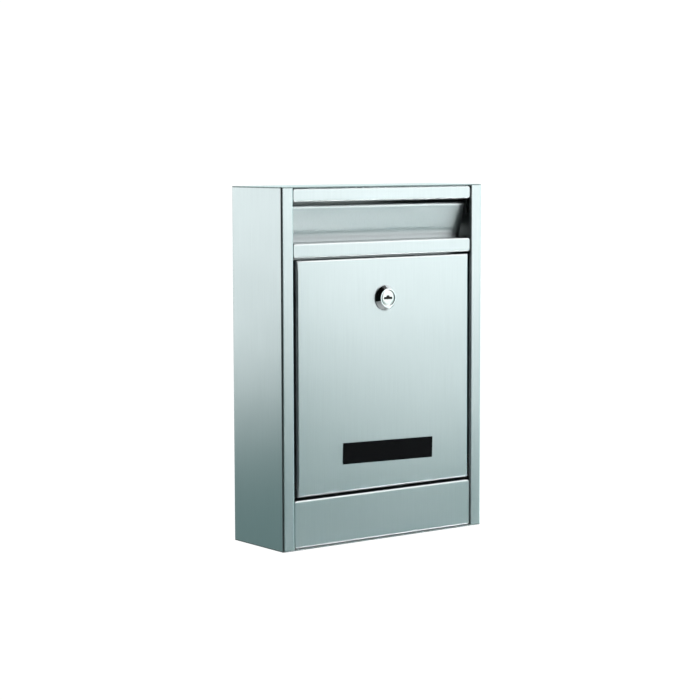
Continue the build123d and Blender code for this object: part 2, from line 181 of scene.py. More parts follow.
def joint_place(name):
    """Point on a joint's axis."""
    found = next(joint for joint in frame["joints"] if joint["name"] == name)
    return np.array(found["pos_m"]) / MM


def linear(hex_colour):
    """sRGB hex as linear red, green and blue."""
    parts = [int(hex_colour[i:i + 2], 16) / 255 for i in (1, 3, 5)]
    return tuple(c / 12.92 if c <= 0.04045 else ((c + 0.055) / 1.055) ** 2.4 for c in parts)


# ---- Sizes and colours that a user would change ----
def length(name, description, millimetres):
    """Length property with its default given in millimetres."""
    return FloatProperty(name=name, description=description, default=millimetres * MM, min=0.0,
                         unit="LENGTH", precision=5)


def colour(name, description, hex_colour):
    """Colour property with its default given as sRGB hex."""
    return FloatVectorProperty(name=name, description=description, default=linear(hex_colour),
                               subtype="COLOR", size=3, min=0.0, max=1.0)


class MailboxSizes(bpy.types.PropertyGroup):
    """Sizes that the frame leaves to the surfaces."""

    sheet: length("Sheet", "Thickness of the casing's stainless sheet", 1.0)
    bend: length("Bend radius", "Outside radius of a fold in the sheet", 1.8)
    rail_corner: length("Rail corner", "Radius of the rails' corners seen from the front", 2.4)
    ease: length("Eased edge", "Rounding of a sheared or turned edge", 0.15)
    strip: length("Strip width", "Width of the strip down each front edge", 12.5)
    strip_lip: length("Strip lip", "How far a strip's inner edge is turned back", 2.0)
    curl: length("Curl radius", "Outside radius of the flap's curl round its rod", 2.58)
    flap_tilt: FloatProperty(name="Flap tilt", description="How far the flap leans in at its foot",
                             default=math.radians(14.0), subtype="ANGLE", unit="ROTATION")
    plate_tilt: FloatProperty(name="Plate tilt", description="Turn of the hand-placed name plate",
                              default=math.radians(-1.4), subtype="ANGLE", unit="ROTATION")
    grain_width: length("Grain width", "Width of a brush mark, drawn coarser than a real one", 0.7)
    grain_length: length("Grain length", "Length of one brush mark", 45.0)


class MailboxColours(bpy.types.PropertyGroup):
    """Base colours of the finishes."""

    steel: colour("Brushed stainless", "Lighter brush marks of the casing", "#CED2D3")
    steel_dark: colour("Brush marks", "Darker brush marks of the casing", "#C9CDCE")
    sheared: colour("Sheared edge", "Cut edges of the sheet", "#8F9A9A")
    mill: colour("Mill stainless", "Unbrushed brackets, pins and rod", "#B9BBBA")
    zinc: colour("Zinc plate", "Bright zinc on the lock's fixings", "#BFC4C8")
    chrome: colour("Chrome", "Polished plate on the lock's head", "#D6DADB")
    nickel: colour("Nickel", "Satin plate on the turning plug", "#E3E4E1")
    brass: colour("Brass", "Stamped wafers", "#C2A25B")
    nylon: colour("Nylon", "Black nylon bushes", "#222324")
    plate: colour("Name plate", "Black lacquer of the name plate", "#07070A")
    rubber: colour("Rubber", "Door buffers", "#1B1B1C")
    floor: colour("Floor", "Pale studio floor", "#F6F7F7")


def mm(name):
    """One of the user's lengths in millimetres."""
    return getattr(bpy.context.scene.mailbox_sizes, name) / MM


def tone(name):
    """One of the user's colours."""
    return tuple(getattr(bpy.context.scene.mailbox_colours, name))


# ---- Shapes ----
def unit(vector):
    return vector / np.linalg.norm(vector)


def turned_by(vectors, angle):
    """Flat vectors turned by an angle."""
    c, s = math.cos(angle), math.sin(angle)
    return np.asarray(vectors, float) @ np.array([[c, s], [-s, c]])


def arc(first, last, steps):
    """Vectors swung evenly from first to last: the sine-weighted mean of the two."""
    sweep = math.acos(np.clip(unit(first) @ unit(last), -1, 1))
    share = np.linspace(0, 1, steps + 1)[:, None]
    return (np.sin((1 - share) * sweep) * first + np.sin(share * sweep) * last) / math.sin(sweep)


def eased(points, radii, steps=4, closed=False):
    """Outline whose corners are replaced by arcs that touch both of their sides."""
    points = np.asarray(points, float)
    radii = np.broadcast_to(radii, len(points))
    out = []
    for i, (point, radius) in enumerate(zip(points, radii)):
        if radius <= 0 or (not closed and i in (0, len(points) - 1)):
            out.append(point[None])
            continue
        back = unit(points[i - 1] - point)
        ahead = unit(points[(i + 1) % len(points)] - point)
        half = math.acos(np.clip(back @ ahead, -1, 1)) / 2
        centre = point + unit(back + ahead) * radius / math.sin(half)
        reach = radius / math.tan(half)
        out.append(centre + arc(point + back * reach - centre, point + ahead * reach - centre,
                                steps))
    return np.concatenate(out)


def grid_faces(rows, columns, wrap_rows=False, wrap_columns=False):
    """Quads between the neighbours of a grid whose points are numbered row by row."""
    i, j = np.meshgrid(np.arange(rows - (not wrap_rows)), np.arange(columns - (not wrap_columns)),
                       indexing="ij")
    i, j = i.ravel(), j.ravel()
    after_i, after_j = (i + 1) % rows, (j + 1) % columns
    return np.stack([i * columns + j, i * columns + after_j,
                     after_i * columns + after_j, after_i * columns + j], axis=1)


def grid_lines(low, high, spacing, patches=()):
    """Places from low to high about spacing apart, with equal steps across each patch."""
    stops = [low, *[stop for patch in sorted(patches) for stop in patch], high]
    runs = []
    for n, (start, end) in enumerate(zip(stops, stops[1:])):
        steps = PATCH_STEPS if n % 2 else max(1, round((end - start) / spacing))
        runs.append(np.linspace(start, end, steps, endpoint=False))
    return np.append(np.concatenate(runs), high)


def border(block):
    """Numbers round the edge of a block of a grid, once each."""
    return np.concatenate([block[:-1, 0], block[-1, :-1], block[:0:-1, -1], block[0, :0:-1]])


def ring_faces(outer, inner):
    """Quads between two closed loops of as many numbers each."""
    return np.stack([outer, inner, np.roll(inner, -1), np.roll(outer, -1)], axis=1)


class Skin:
    """Points, in millimetres, and faces of a piece while it is put together. Slot 1 is for sheared
    edges."""

    def __init__(self):
        self.points, self.faces, self.slots, self.count = [], [], [], 0

    def add(self, points, faces, slots=0):
        self.points.append(np.asarray(points, float).reshape(-1, 3))
        self.faces.append(np.asarray(faces) + self.count)
        self.slots.append(np.broadcast_to(slots, len(faces)))
        self.count += len(self.points[-1])


def pierced_grid(us, vs, holes=()):
    """Grid over us by vs in which the square round each hole is a ring of quads, from the square's
    points to the hole's outline at the same angles. A hole is its centre, half the side of its
    square, and its outline as a function of the angle. Returns points, faces, the grid's numbers
    and the hole loops."""
    u, v = np.meshgrid(us, vs, indexing="ij")
    points = [np.stack([u.ravel(), v.ravel()], axis=1)]
    number = np.arange(u.size).reshape(u.shape)
    middle_u, middle_v = (u[:-1, :-1] + u[1:, 1:]) / 2, (v[:-1, :-1] + v[1:, 1:]) / 2
    keep = np.ones(middle_u.shape, bool)
    rings, loops, count = [], [], u.size
    for centre, half, outline in holes:
        keep &= (abs(middle_u - centre[0]) > half) | (abs(middle_v - centre[1]) > half)
        i, j = abs(us - centre[0] + half).argmin(), abs(vs - centre[1] + half).argmin()
        edge = border(number[i:i + PATCH_STEPS + 1, j:j + PATCH_STEPS + 1])
        off = points[0][edge] - centre
        loop = count + np.arange(len(edge))
        points.append(centre + outline(np.arctan2(off[:, 1], off[:, 0])))
        rings.append(ring_faces(edge, loop))
        loops.append(loop)
        count += len(edge)
    faces = grid_faces(len(us), len(vs))[keep.ravel()]
    return np.concatenate(points), np.concatenate([faces, *rings]), number, loops


def bar_outline(radius, flat):
    """Outline of a round bar with a flat on its left and right: the nearer of circle and flat."""
    def outline(angle):
        reach = np.minimum(radius, flat / np.maximum(abs(np.cos(angle)), TINY))
        return np.stack([reach * np.cos(angle), reach * np.sin(angle)], axis=1)
    return outline


def rim_walk(number, rounded):
    """Numbers round a grid's edge and the outward direction at each. A rounded corner is passed in
    several directions, and a mitred one in the sum of its two."""
    sides = [number[:, 0], number[-1, :], number[::-1, -1], number[0, ::-1]]
    normals = np.array([(0, -1), (1, 0), (0, 1), (-1, 0)], float)
    numbers, ways = [], []
    for k, side in enumerate(sides):
        normal, after = normals[k], normals[(k + 1) % 4]
        if rounded:
            swing = arc(normal, after, CORNER_STEPS)[1:-1]
            numbers += [side, np.repeat(side[-1], len(swing))]
            ways += [np.tile(normal, (len(side), 1)), swing]
        else:
            way = np.tile(normal, (len(side) - 1, 1))
            way[0] += normals[k - 1]
            numbers.append(side[:-1])
            ways.append(way)
    return np.concatenate(numbers), np.concatenate(ways)


def tray(skin, us, vs, profile, place, holes=(), rounded=True, sheared=(), ends=None):
    """Closed sheet: two flat grids joined by a profile of (inset, depth) carried round their
    edge. The point at inset e lies (first inset - e) outside the grid's edge. ends is the profile
    across the first and last u, and round a corner the two are weighted by the squares of the
    direction's parts. place turns u, v and depth into x, y and z, and sheared names the profile's
    steps that are cut edges."""
    profile = np.asarray(profile, float)
    ends = profile if ends is None else np.asarray(ends, float)
    flat, faces, number, loops = pierced_grid(us, vs, holes)
    skins = [np.stack(place(flat[:, 0], flat[:, 1], np.full(len(flat), depth)), axis=1)
             for depth in profile[[0, -1], 1]]
    for points in skins:
        skin.add(points, faces)
    for loop in loops:
        count = len(loop)
        numbers = np.arange(count)
        skin.add(np.concatenate([skins[0][loop], skins[1][loop]]),
                 ring_faces(numbers, numbers + count), 1)
    numbers, ways = rim_walk(number, rounded)
    spread = np.stack([ends[0, 0] - ends[:, 0], profile[0, 0] - profile[:, 0]], axis=1)
    edge = flat[numbers][None] + spread[:, None] * ways[None]
    share = (ways[:, 0] ** 2 / (ways ** 2).sum(axis=1))[None]
    depth = share * ends[:, 1:] + (1 - share) * profile[:, 1:]
    walls = grid_faces(len(profile), len(numbers), wrap_columns=True)
    step = np.repeat(np.arange(len(profile) - 1), len(numbers))
    skin.add(np.stack(place(edge[..., 0], edge[..., 1], depth), axis=-1), walls,
             np.isin(step, sheared).astype(int))


def pan_profile(reach, depth, sheet, bend, ease):
    """Section through a tray's edge, from its front round its flange to the inside, and the number
    of the step at which the cut edge starts."""
    outside = eased([(reach, 0), (0, 0), (0, depth)], [0, bend, 0], BEND_STEPS)
    inside = eased([(sheet, depth), (sheet, sheet), (reach, sheet)],
                   [0, max(bend - sheet, SHARPEST), 0], BEND_STEPS)
    outside[-1, 1] -= ease
    inside[0, 1] -= ease
    edge = np.array([(ease, depth), (sheet - ease, depth)])
    return np.concatenate([outside, edge, inside]), len(outside) - 1


def pan(skin, half, bottom, top, face, depth, sheet, bend, corner=0.0, holes=(), ease=0.15,
        end_bend=None):
    """Folded tray, open at the back: a front with a flange folded back on all four sides."""
    reach = max(corner, bend)
    profile, first = pan_profile(reach, depth, sheet, bend, ease)
    ends = pan_profile(reach, depth, sheet, end_bend or bend, ease)[0]
    patches = [[(c[axis] - size, c[axis] + size) for c, size, _ in holes] for axis in (0, 1)]
    us = grid_lines(-half + reach, half - reach, GRID, patches[0])
    vs = grid_lines(bottom + reach, top - reach, GRID, patches[1])
    tray(skin, us, vs, profile, lambda u, v, d: (u, face + d, v), holes, corner > 0,
         range(first, first + 3), ends)


def plate(skin, us, vs, thick, corner, ease, place, rounded=True):
    """Flat sheet with eased edges."""
    profile = [(corner, 0), (ease, 0), (0, ease), (0, thick - ease), (ease, thick), (corner, thick)]
    tray(skin, us, vs, profile, place, (), rounded, range(1, 4))


def folded(path, thick, bend):
    """Near and far side of a folded sheet. The metal lies to the left of the path. A fold's near
    side is an arc of radius bend where it turns left, and of bend less the thickness where it
    turns right."""
    path = np.asarray(path, float)
    ways = np.array([unit(step) for step in np.diff(path, axis=0)])
    normals = np.stack([-ways[:, 1], ways[:, 0]], axis=1)
    near, far = [path[:1]], [path[:1] + thick * normals[0]]
    for point, n, m in zip(path[1:-1], normals, normals[1:]):
        side = 1 if n[0] * m[1] - n[1] * m[0] > 0 else -1
        radius = bend if side > 0 else bend - thick
        centre = point + side * radius * (n + m) / (1 + n @ m)
        swing = arc(n, m, BEND_STEPS)
        near.append(centre - side * radius * swing)
        far.append(centre - side * (radius - side * thick) * swing)
    near.append(path[-1:])
    far.append(path[-1:] + thick * normals[-1])
    return np.concatenate(near), np.concatenate(far)


def placed_on(axis):
    """Turns a section's two coordinates and the place along an axis into x, y and z."""
    order = {"X": lambda a, b, t: (t, a, b), "Y": lambda a, b, t: (a, t, b),
             "Z": lambda a, b, t: (a, b, t)}
    return order[axis]


def bar(skin, near, far, axis, low, high):
    """Section between its near and far side, carried straight along an axis, with its ends shut."""
    place = placed_on(axis)
    loop = np.concatenate([near, far[::-1]])
    count = len(loop)
    ends = [np.stack(place(loop[:, 0], loop[:, 1], np.full(count, t)), axis=1) for t in (low, high)]
    skin.add(np.concatenate(ends), grid_faces(2, count, wrap_columns=True))
    n = len(near)
    i = np.arange(n - 1)
    cap = np.stack([i, i + 1, count - 2 - i, count - 1 - i], axis=1)
    for points in ends:
        skin.add(points, cap, 1)


def swept(skin, radius, along, centre, angles, axis="Y", closed=False):
    """Rows of radii, one radius for each angle, at their places along the axis. A row of no radius
    is a pole."""
    a, b = centre[0] + radius * np.cos(angles), centre[1] + radius * np.sin(angles)
    skin.add(np.stack(placed_on(axis)(a, b, np.broadcast_to(along, radius.shape)), axis=-1),
             grid_faces(*radius.shape, wrap_rows=closed, wrap_columns=True))


def turned(skin, profile, centre, axis="Y", closed=False, limit=None):
    """Profile of (radius, place along the axis) carried round the axis. limit, a function of the
    angles, caps the radius of each row, as flats do."""
    angles = np.linspace(0, 2 * math.pi, TURN_STEPS, endpoint=False)
    profile = np.asarray(profile, float)
    radius = np.broadcast_to(profile[:, :1], (len(profile), len(angles)))
    if limit is not None:
        radius = np.minimum(radius, limit(angles))
    swept(skin, radius, profile[:, 1:], centre, angles, axis, closed)


def bush(skin, outer, inner, low, high, centre, axis, ease):
    """Ring with eased edges: its closed section carried round the axis."""
    section = eased([(inner, low), (outer, low), (outer, high), (inner, high)], ease, 3, True)
    turned(skin, section, centre, axis, closed=True)


# ---- Pieces from skins and from CAD nodes ----
def finish_mesh(mesh, angle=35.0):
    """Merges doubles, drops stray points, turns faces outwards and keeps corners crisp."""
    work = bmesh.new()
    work.from_mesh(mesh)
    bmesh.ops.remove_doubles(work, verts=work.verts, dist=MERGE)
    bmesh.ops.dissolve_degenerate(work, edges=work.edges, dist=MERGE / 2)
    bmesh.ops.delete(work, geom=[v for v in work.verts if not v.link_faces], context="VERTS")
    bmesh.ops.recalc_face_normals(work, faces=work.faces)
    work.to_mesh(mesh)
    work.free()
    mesh.polygons.foreach_set("use_smooth", np.ones(len(mesh.polygons), bool))
    mesh.set_sharp_from_angle(angle=math.radians(angle))
    mesh.update()


def placed(name, data):
    """Object of a mesh, a light or a camera, in the scene."""
    made = bpy.data.objects.new(name, data)
    bpy.context.scene.collection.objects.link(made)
    return made


def mesh_of(name, skin, angle=35.0):
    """Mesh in metres from a skin."""
    mesh = bpy.data.meshes.new(name)
    points = np.concatenate(skin.points) * MM
    mesh.from_pydata(points.tolist(), [], np.concatenate(skin.faces).tolist())
    mesh.polygons.foreach_set("material_index", np.concatenate(skin.slots).astype(np.int32))
    finish_mesh(mesh, angle)
    return mesh


def wear(piece, body, slot, nodes, bevel=0.0, grain="Z"):
    """Gives a piece its finishes, its bevel and its body, and hides the CAD nodes that it stands for."""
    for finish in finishes_of(slot, grain):
        piece.data.materials.append(finish)
    if bevel > 0:
        edge = piece.modifiers.new("Eased edges", "BEVEL")
        edge.width = bevel * MM
        edge.segments = 2
        edge.limit_method = "ANGLE"
        edge.angle_limit = math.radians(50)
        edge.use_clamp_overlap = True
        edge.harden_normals = True
    flat = piece.modifiers.new("Flat faces stay flat", "WEIGHTED_NORMAL")
    flat.keep_sharp = True
    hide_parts(*nodes)
    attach(piece, body)


def make_piece(name, skin, body, slot, nodes, bevel=0.0, angle=35.0, grain="Z"):
    """Piece from a skin, with its object at the origin and its place in its mesh."""
    wear(placed(name, mesh_of(name, skin, angle)), body, slot, nodes, bevel, grain)


def copy_of_node(node, name, body, slot, bevel):
    """Piece from a merged copy of a CAD node, with its edges eased."""
    mesh = frame["nodes"][node].data.copy()
    mesh.name = name
    mesh.materials.clear()
    finish_mesh(mesh)
    wear(placed(name, mesh), body, slot, [node], bevel)


# ---- Finishes ----
def add(tree, kind, inputs=None, **settings):
    """Adds a shader node of a kind with its settings, its values and its links."""
    node = tree.nodes.new("ShaderNode" + kind)
    for name, value in settings.items():
        setattr(node, name, value)
    for name, value in (inputs or {}).items():
        if isinstance(value, bpy.types.NodeSocket):
            tree.links.new(value, node.inputs[name])
        else:
            node.inputs[name].default_value = value
    return node


def new_material(name):
    """Empty material, its tree and its Object coordinates in metres."""
    found = bpy.data.materials.get(name)
    if found:
        return found, None, None
    material = bpy.data.materials.new(name)
    material.use_nodes = True
    tree = material.node_tree
    tree.nodes.clear()
    place = add(tree, "TexCoord").outputs["Object"]
    return material, tree, place


def scaled(tree, place, sizes):
    """Coordinates counted in pattern sizes, which are given in millimetres along X, Y and Z."""
    scale = [1 / (size * MM) for size in sizes]
    return add(tree, "Mapping", {"Vector": place, "Scale": scale}).outputs["Vector"]


def noise(tree, place, sizes, detail=2.0, roughness=0.5):
    """Noise whose features are as large as sizes."""
    where = scaled(tree, place, sizes)
    return add(tree, "TexNoise", {"Vector": where, "Scale": 1.0, "Detail": detail,
                                           "Roughness": roughness}).outputs["Fac"]


def ranged(tree, value, low, high, start=0.25, end=0.75):
    """Value carried from start..end to low..high."""
    return add(tree, "MapRange", {"Value": value, "From Min": start, "From Max": end,
                                           "To Min": low, "To Max": high}).outputs["Result"]


def blend_colours(tree, share, first, second):
    return add(tree, "Mix", {"Factor": share, "A": (*first, 1), "B": (*second, 1)},
               data_type="RGBA").outputs["Result"]


def shade(tree, inputs):
    """Principled shader and the output that shows it."""
    shader = add(tree, "BsdfPrincipled", inputs)
    add(tree, "OutputMaterial", {"Surface": shader.outputs["BSDF"]})


def brushed_stainless(grain="Z"):
    """Stainless sheet finished on a belt: fine marks along the grain, which smear reflections into
    a soft satin and leave slow clouds where the belt pressed more or less."""
    material, tree, place = new_material("brushed_stainless_" + grain.lower())
    if tree is None:
        return material
    width, along = mm("grain_width"), mm("grain_length")
    mark = {"X": (along, width, width), "Z": (width, width, along)}[grain]
    # Real marks are 0.05 to 0.1 mm wide: too fine to show, so they are drawn coarser and fainter.
    marks = noise(tree, place, mark, 3.0, 0.6)
    clouds = noise(tree, place, CLOUD_SIZE, 1.0)
    waves = add(tree, "Bump", {"Height": clouds, "Distance": CLOUD_DEPTH * MM,
                                         "Strength": 1.0})
    bump = add(tree, "Bump", {"Height": marks, "Distance": MARK_DEPTH * MM,
                                        "Strength": 0.5, "Normal": waves.outputs["Normal"]})
    base = add(tree, "Math", {0: ranged(tree, marks, 0.0, SATIN_SPREAD), 1: SATIN},
               operation="ADD").outputs["Value"]
    facing = add(tree, "TexCoord").outputs["Normal"]
    # The grain leans a little, so that it is never along the normal of a flange's face.
    lean = {"X": (1, 0.02, 0), "Z": (0, 0.02, 1)}[grain]
    across = add(tree, "VectorMath", {0: facing, 1: lean},
                 operation="CROSS_PRODUCT").outputs["Vector"]
    across = add(tree, "VectorTransform", {"Vector": across}, vector_type="VECTOR",
                 convert_from="OBJECT", convert_to="WORLD").outputs["Vector"]
    shade(tree, {
        "Base Color": blend_colours(tree, ranged(tree, marks, 0.0, 1.0), tone("steel"),
                                    tone("steel_dark")),
        "Metallic": 1.0,
        "Roughness": add(tree, "Math",
                         {0: base, 1: ranged(tree, clouds, 0.0, SATIN_SPREAD)},
                         operation="ADD").outputs["Value"],
        "Anisotropic": SMEAR,
        "Tangent": across,
        "Normal": bump.outputs["Normal"],
    })
    return material


def sheared_edge():
    """Edge left by the shear: half burnished, half torn, so greyer and duller than the sheet."""
    material, tree, place = new_material("sheared_stainless_edge")
    if tree is None:
        return material
    tear = noise(tree, place, (0.5, 0.5, 0.5), 3.0, 0.7)
    bump = add(tree, "Bump", {"Height": tear, "Distance": 0.03 * MM, "Strength": 0.6})
    shade(tree, {"Base Color": (*tone("sheared"), 1), "Metallic": 1.0,
                 "Roughness": ranged(tree, tear, 0.45, 0.62), "Normal": bump.outputs["Normal"]})
    return material


def plated(name, base, rough, size, depth):
    """Bare or plated metal: its roughness wanders between two values over patches of one size, and
    its surface by a depth, both in millimetres."""
    material, tree, place = new_material(name)
    if tree is None:
        return material
    patches = noise(tree, place, (size, size, size), 3.0, 0.55)
    bump = add(tree, "Bump", {"Height": patches, "Distance": depth * MM, "Strength": 1.0})
    shade(tree, {"Base Color": (*tone(base), 1), "Metallic": 1.0,
                 "Roughness": ranged(tree, patches, *rough), "Normal": bump.outputs["Normal"]})
    return material


def satin_nickel():
    """Nickel-plated plug, turned on its face: fine rings round the axis scatter light evenly."""
    material, tree, place = new_material("turned_satin_nickel")
    if tree is None:
        return material
    low, high = box_of("lock_plug")
    centre = (low + high) / 2 * MM
    off = add(tree, "VectorMath", {0: place, 1: (centre[0], 0, centre[2])},
              operation="SUBTRACT").outputs["Vector"]
    flat = add(tree, "VectorMath", {0: off, 1: (1, 0, 1)}, operation="MULTIPLY")
    radius = add(tree, "VectorMath", {0: flat.outputs["Vector"]}, operation="LENGTH")
    ring = 0.25 * MM  # spacing of the turning marks, drawn coarser than the real feed
    count = add(tree, "Math", {0: radius.outputs["Value"], 1: 2 * math.pi / ring},
                operation="MULTIPLY").outputs["Value"]
    wave = add(tree, "Math", {0: count}, operation="SINE").outputs["Value"]
    bump = add(tree, "Bump", {"Height": wave, "Distance": 0.004 * MM, "Strength": 0.5})
    shade(tree, {"Base Color": (*tone("nickel"), 1), "Metallic": 1.0,
                 "Roughness": ranged(tree, noise(tree, place, (2.0, 2.0, 2.0)), 0.28, 0.36),
                 "Normal": bump.outputs["Normal"]})
    return material


def moulded(name, base, rough, specular, size, depth):
    """Moulded or lacquered surface: a fine texture of one size and depth, both in millimetres."""
    material, tree, place = new_material(name)
    if tree is None:
        return material
    grain = noise(tree, place, (size, size, size), 3.0, 0.6)
    bump = add(tree, "Bump", {"Height": grain, "Distance": depth * MM, "Strength": 0.5})
    lighter = tuple(min(1.0, c * 1.25 + 0.0005) for c in tone(base))
    shade(tree, {"Base Color": blend_colours(tree, ranged(tree, grain, 0.0, 1.0), tone(base),
                                             lighter),
                 "Roughness": ranged(tree, grain, *rough),
                 "Specular IOR Level": specular, "Normal": bump.outputs["Normal"]})
    return material


# Name, colour, roughness, and size and depth of its patches, for each slot of plain metal.
METALS = {
    # Cold-rolled stainless as it comes from the mill: grey and even, with a faint orange peel.
    "plain_stainless": ("mill_stainless", "mill", (0.26, 0.38), 3.0, 0.004),
    # Bright zinc electroplate on stamped steel: cool, slightly clouded.
    "zinc_plated_steel": ("bright_zinc_plate", "zinc", (0.2, 0.4), 2.5, 0.004),
    # Bright chromium plate on a die casting: nearly a mirror, with a little waviness below it.
    "chrome_plate": ("bright_chrome_plate", "chrome", (0.05, 0.11), 4.0, 0.003),
    # Stamped brass wafers: dull yellow with handling marks.
    "brass_wafer": ("stamped_brass", "brass", (0.25, 0.45), 1.0, 0.003),
}
# Name, colour, roughness, specular level, and size and depth of its texture.
COATS = {
    # Moulded black nylon: slightly waxy.
    "black_nylon": ("moulded_black_nylon", "nylon", (0.35, 0.5), 0.5, 0.8, 0.01),
    # Matt black lacquer over a thin plate: almost no sheen, so it reads as one dark field.
    "black_plate": ("matt_black_lacquer", "plate", (0.6, 0.75), 0.06, 0.6, 0.006),
    # Black rubber buffers: dull with a fine mould texture.
    "black_rubber": ("moulded_rubber", "rubber", (0.7, 0.85), 0.3, 0.5, 0.02),
    # Matt pale paint on the floor with a faint roller texture.
    "floor": ("matt_pale_paint", "floor", (0.8, 0.9), 0.2, 8.0, 0.05),
}


def finishes_of(slot, grain="Z"):
    """Materials of a slot: its face's, and its cut edges' where it is a sheet."""
    if slot == "brushed_stainless":
        return [brushed_stainless(grain), sheared_edge()]
    if slot == "lock_nickel":
        return [satin_nickel()]
    if slot in METALS:
        return [plated(*METALS[slot])]
    return [moulded(*COATS[slot])] * (2 if slot == "black_plate" else 1)


# ---- Casing ----
class MAILBOX_OT_body_shell(bpy.types.Operator):
    """Back, side walls and front strips, folded from one sheet, with four wall screw holes"""

    bl_idname = "mailbox.body_shell"
    bl_label = "Body shell"

    def execute(self, context):
        sheet, bend, ease = mm("sheet"), mm("bend"), mm("ease")
        low, high = box_of("body_shell")
        half, front = high[0], low[1]
        strip, lip = half - mm("strip"), front + mm("strip_lip")
        near, far = folded([(strip, lip), (strip, front), (half, front), (half, 0), (-half, 0),
                            (-half, front), (-strip, front), (-strip, lip)], sheet, bend)
        place = np.concatenate([[0], np.cumsum(np.linalg.norm(np.diff(near, axis=0), axis=1))])
        middle = place[-1] / 2  # the back's centre, halfway along the folded sheet
        holes = [((middle - x, z), WALL_PATCH, bar_outline(WALL_HOLE_R, WALL_HOLE_R + 1))
                 for x in WALL_XS for z in WALL_ZS]
        back = [(middle + x - WALL_PATCH, middle + x + WALL_PATCH) for x in WALL_XS]
        us = np.union1d(np.round(place, 6), np.round(grid_lines(0, place[-1], GRID, back), 6))
        us = us[np.diff(us, prepend=-1) > 1e-4]
        vs = grid_lines(low[2], high[2], GRID, [(z - WALL_PATCH, z + WALL_PATCH) for z in WALL_ZS])

        def on_sheet(u, v, depth):
            share = depth / sheet
            x, y = [(1 - share) * np.interp(u, place, near[:, k])
                    + share * np.interp(u, place, far[:, k]) for k in (0, 1)]
            return x, y, v

        skin = Skin()
        tray(skin, us, vs, [(0, 0), (0, sheet)], on_sheet, holes, False, [0])
        flange = half - 3 * bend
        for z in (low[2], high[2] - sheet):
            plate(skin, grid_lines(-flange, flange, 2 * GRID),
                  np.array([-BACK_FLANGE + ease, -sheet - ease]),
                  sheet, ease, ease / 2, lambda u, v, d, z=z: (u, v, z + d), False)
        make_piece("body_shell_skin", skin, "casing", "brushed_stainless", ["body_shell"])
        return {"FINISHED"}


class MAILBOX_OT_covers(bpy.types.Operator):
    """Flat sheets that close the shell above and below"""

    bl_idname = "mailbox.covers"
    bl_label = "Top and floor"

    def execute(self, context):
        bend, ease = mm("bend"), mm("ease")
        for node in ("top_panel", "floor_panel"):
            low, high = box_of(node)
            skin = Skin()
            us = grid_lines(low[0] + bend, high[0] - bend, GRID)
            vs = grid_lines(low[1] + bend, high[1] - bend, GRID)
            plate(skin, us, vs, high[2] - low[2], bend, ease, lambda u, v, d: (u, v, low[2] + d))
            make_piece(node + "_sheet", skin, "casing", "brushed_stainless", [node], grain="X")
        return {"FINISHED"}


class MAILBOX_OT_rails(bpy.types.Operator):
    """Top rail, middle rail with the flap's stop and the lock's keeper, and lower fascia"""

    bl_idname = "mailbox.rails"
    bl_label = "Rails"

    def execute(self, context):
        sheet, bend, corner = mm("sheet"), mm("bend"), mm("rail_corner")
        for node in ("top_rail", "lower_fascia"):
            low, high = box_of(node)
            skin = Skin()
            pan(skin, high[0], low[2], high[2], low[1], high[1] - low[1], sheet, bend, corner,
                end_bend=END_BEND)
            make_piece(node + "_tray", skin, "casing", "brushed_stainless", [node])
        self.middle_rail(sheet, bend, corner)
        return {"FINISHED"}

    def middle_rail(self, sheet, bend, corner):
        """Tray with its upper flange run back to the flap, and its lower one folded down as the
        keeper and out to the side walls as ears."""
        low, high = box_of("mid_rail")
        end = box_of("top_rail")[1][0]
        depth = box_of("top_rail")[1][1] - box_of("top_rail")[0][1]
        bottom = low[2] + KEEPER_DROP
        face = low[1]
        skin = Skin()
        pan(skin, end, bottom, high[2], face, depth, sheet, bend, corner, end_bend=END_BEND)
        half = end - corner - KEEPER_INSET
        joint = face + depth - sheet
        near, far = folded([(joint, high[2] - sheet), (flap_stop(), high[2] - sheet)], sheet, bend)
        bar(skin, near, far, "X", -half, half)
        lip = high[1]
        near, far = folded([(joint, bottom), (lip - sheet, bottom), (lip - sheet, low[2])], sheet,
                           bend)
        bar(skin, near, far, "X", -half, half)
        back = lip - sheet - bend
        for side in (-1, 1):
            near, far = folded([(half - sheet, bottom), (high[0], bottom),
                                (high[0], bottom + EAR_TAB)], sheet, bend)
            bar(skin, near * (side, 1), far * (side, 1), "Y", back - EAR_WIDTH, back)
        make_piece("mid_rail_tray", skin, "casing", "brushed_stainless", ["mid_rail"])


def flap_stop():
    """Back edge of the middle rail's upper flange, a small gap in front of the closed flap."""
    rod, curl = joint_place("flap_hinge"), mm("curl")
    tilt = bpy.context.scene.mailbox_sizes.flap_tilt
    drop = (rod[2] - box_of("mid_rail")[1][2] - curl * math.sin(tilt)) / math.cos(tilt)
    face = rod[1] - curl * math.cos(tilt) + drop * math.sin(tilt)
    return face - FLAP_STOP_GAP / math.cos(tilt)


# ---- Door ----
class MAILBOX_OT_door(bpy.types.Operator):
    """Front of the door with flanges on all sides and the lock's hole"""

    bl_idname = "mailbox.door"
    bl_label = "Door"

    def execute(self, context):
        low, high = box_of("door_panel")
        hole = (lock_axis(), DOOR_PATCH, bar_outline(DOOR_HOLE_R, DOOR_HOLE_FLAT))
        skin = Skin()
        pan(skin, high[0], low[2], high[2], low[1], high[1] - low[1], mm("sheet"), mm("bend"),
            holes=[hole])
        make_piece("door_skin", skin, "door", "brushed_stainless", ["door_panel"])
        return {"FINISHED"}


